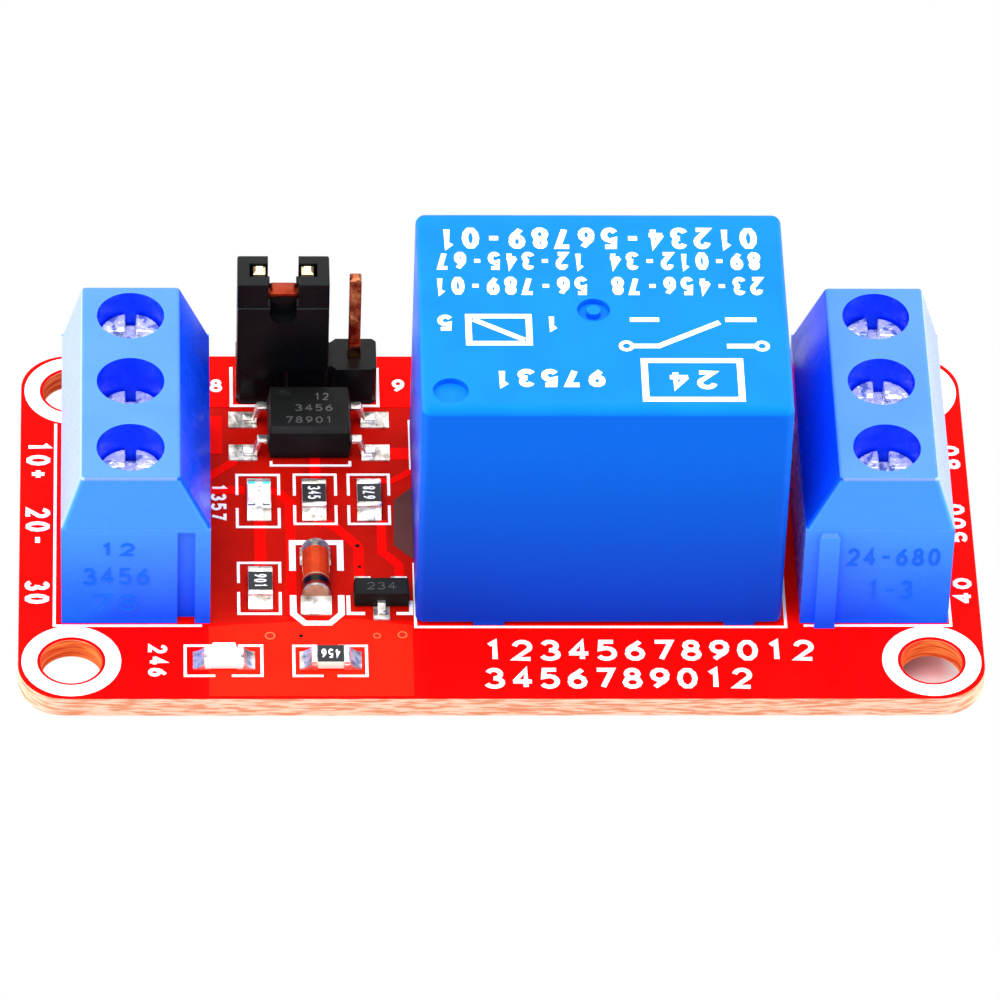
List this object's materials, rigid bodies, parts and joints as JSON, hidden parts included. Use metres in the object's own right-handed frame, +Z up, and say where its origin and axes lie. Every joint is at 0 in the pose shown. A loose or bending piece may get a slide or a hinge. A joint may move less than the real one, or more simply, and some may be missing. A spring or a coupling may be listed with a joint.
{
  "type": "relay module board",
  "caption": "Small red circuit board with a switching relay, screw terminal blocks at both ends, a jumper header and surface parts.",
  "frame": {"origin": "centre of the four mounting holes, on the underside of the board", "axes": "+X along the board from the input terminals to the output terminals, +Y towards the jumper header's edge, +Z up out of the component side"},
  "size_m": [0.05, 0.026, 0.018],
  "materials": {
    "board_red": "glossy red solder mask on laminate",
    "terminal_blue": "satin moulded nylon",
    "relay_blue": "smooth moulded plastic",
    "black_plastic": "satin moulded plastic",
    "white_plastic": "moulded plastic",
    "steel": "zinc plated",
    "iron": "soft magnetic iron",
    "tin": "tinned metal",
    "solder": "bright solder",
    "gold": "gold plated brass",
    "copper": "enamelled copper wire",
    "chip_ceramic": "white ceramic with a black glaze on top",
    "led_lens": "clear pale resin",
    "led_base": "white laminate",
    "diode_glass": "orange tinted glass",
    "silicon": "bare chip"
  },
  "bodies": {
    "root": {"circuit_board": "board_red", "through_hole_solder": "solder", "surface_solder": "solder", "input_terminal_housing": "terminal_blue", "output_terminal_housing": "terminal_blue", "relay_cover": "relay_blue", "relay_base": "relay_blue", "relay_bobbin": "white_plastic", "relay_winding": "copper", "relay_core": "iron", "relay_yoke": "iron", "relay_common_terminal": "tin", "relay_open_contact": "tin", "relay_closed_contact": "tin", "relay_coil_legs": "tin", "header_housing": "black_plastic", "optocoupler_body": "black_plastic", "optocoupler_leads": "tin", "resistor_end_caps": "tin", "status_led_base": "led_base", "power_led_base": "led_base", "status_led_lens": "led_lens", "power_led_lens": "led_lens", "diode_glass": "diode_glass", "diode_end_caps": "tin", "diode_chip": "silicon", "transistor_body": "black_plastic", "transistor_leads": "tin", "header_post_1": "gold", "header_post_2": "gold", "header_post_3": "gold", "resistor_1": "chip_ceramic", "resistor_2": "chip_ceramic", "resistor_3": "chip_ceramic", "resistor_4": "chip_ceramic", "input_clamp_frame_1": "tin", "input_clamp_frame_2": "tin", "input_clamp_frame_3": "tin", "output_clamp_frame_1": "tin", "output_clamp_frame_2": "tin", "output_clamp_frame_3": "tin"},
    "input_guard_1": {"input_wire_guard_1": "tin"},
    "input_screw_1": {"input_screw_1": "steel"},
    "input_guard_2": {"input_wire_guard_2": "tin"},
    "input_screw_2": {"input_screw_2": "steel"},
    "input_guard_3": {"input_wire_guard_3": "tin"},
    "input_screw_3": {"input_screw_3": "steel"},
    "output_guard_1": {"output_wire_guard_1": "tin"},
    "output_screw_1": {"output_screw_1": "steel"},
    "output_guard_2": {"output_wire_guard_2": "tin"},
    "output_screw_2": {"output_screw_2": "steel"},
    "output_guard_3": {"output_wire_guard_3": "tin"},
    "output_screw_3": {"output_screw_3": "steel"},
    "jumper": {"jumper_cap": "black_plastic", "jumper_clip": "gold"},
    "armature": {"relay_armature": "iron", "relay_contact_blade": "copper"}
  },
  "joints": [
    {"name": "input_guard_1_slide", "type": "slide", "parent": "root", "child": "input_guard_1", "axis": [0, 0, 1], "range_m": [-0.00085, 0.00125]},
    {"name": "input_screw_1_turn", "type": "hinge", "parent": "input_guard_1", "child": "input_screw_1", "pos_m": [-0.0192, -0.005, 0.0093], "axis": [0, 0, 1], "range_deg": [-682, 1001]},
    {"name": "input_guard_2_slide", "type": "slide", "parent": "root", "child": "input_guard_2", "axis": [0, 0, 1], "range_m": [-0.00035, 0.00175]},
    {"name": "input_screw_2_turn", "type": "hinge", "parent": "input_guard_2", "child": "input_screw_2", "pos_m": [-0.0192, 0, 0.0093], "axis": [0, 0, 1], "range_deg": [-282, 1401]},
    {"name": "input_guard_3_slide", "type": "slide", "parent": "root", "child": "input_guard_3", "axis": [0, 0, 1], "range_m": [-0.00115, 0.00095]},
    {"name": "input_screw_3_turn", "type": "hinge", "parent": "input_guard_3", "child": "input_screw_3", "pos_m": [-0.0192, 0.005, 0.0093], "axis": [0, 0, 1], "range_deg": [-922, 761]},
    {"name": "output_guard_1_slide", "type": "slide", "parent": "root", "child": "output_guard_1", "axis": [0, 0, 1], "range_m": [-0.0008, 0.0013]},
    {"name": "output_screw_1_turn", "type": "hinge", "parent": "output_guard_1", "child": "output_screw_1", "pos_m": [0.01966, -0.005, 0.0093], "axis": [0, 0, 1], "range_deg": [-641, 1041]},
    {"name": "output_guard_2_slide", "type": "slide", "parent": "root", "child": "output_guard_2", "axis": [0, 0, 1], "range_m": [-0.00108, 0.00102]},
    {"name": "output_screw_2_turn", "type": "hinge", "parent": "output_guard_2", "child": "output_screw_2", "pos_m": [0.01966, 0, 0.0093], "axis": [0, 0, 1], "range_deg": [-865, 817]},
    {"name": "output_guard_3_slide", "type": "slide", "parent": "root", "child": "output_guard_3", "axis": [0, 0, 1], "range_m": [-0.0009, 0.0012]},
    {"name": "output_screw_3_turn", "type": "hinge", "parent": "output_guard_3", "child": "output_screw_3", "pos_m": [0.01966, 0.005, 0.0093], "axis": [0, 0, 1], "range_deg": [-722, 961]},
    {"name": "jumper_lift", "type": "slide", "parent": "root", "child": "jumper", "axis": [0, 0, 1], "range_m": [0, 0.007]},
    {"name": "armature_tip", "type": "hinge", "parent": "root", "child": "armature", "pos_m": [-0.00183, 0, 0.0109], "axis": [0, 1, 0], "range_deg": [0, 3.4], "stiffness_Nm_per_rad": 0.02, "springref_deg": -8.59}
  ],
  "couplings": [
    {"joint": "input_screw_1_turn", "follows": "input_guard_1_slide", "rad_per_m": 13963},
    {"joint": "input_screw_2_turn", "follows": "input_guard_2_slide", "rad_per_m": 13963},
    {"joint": "input_screw_3_turn", "follows": "input_guard_3_slide", "rad_per_m": 13963},
    {"joint": "output_screw_1_turn", "follows": "output_guard_1_slide", "rad_per_m": 13963},
    {"joint": "output_screw_2_turn", "follows": "output_guard_2_slide", "rad_per_m": 13963},
    {"joint": "output_screw_3_turn", "follows": "output_guard_3_slide", "rad_per_m": 13963}
  ]
}
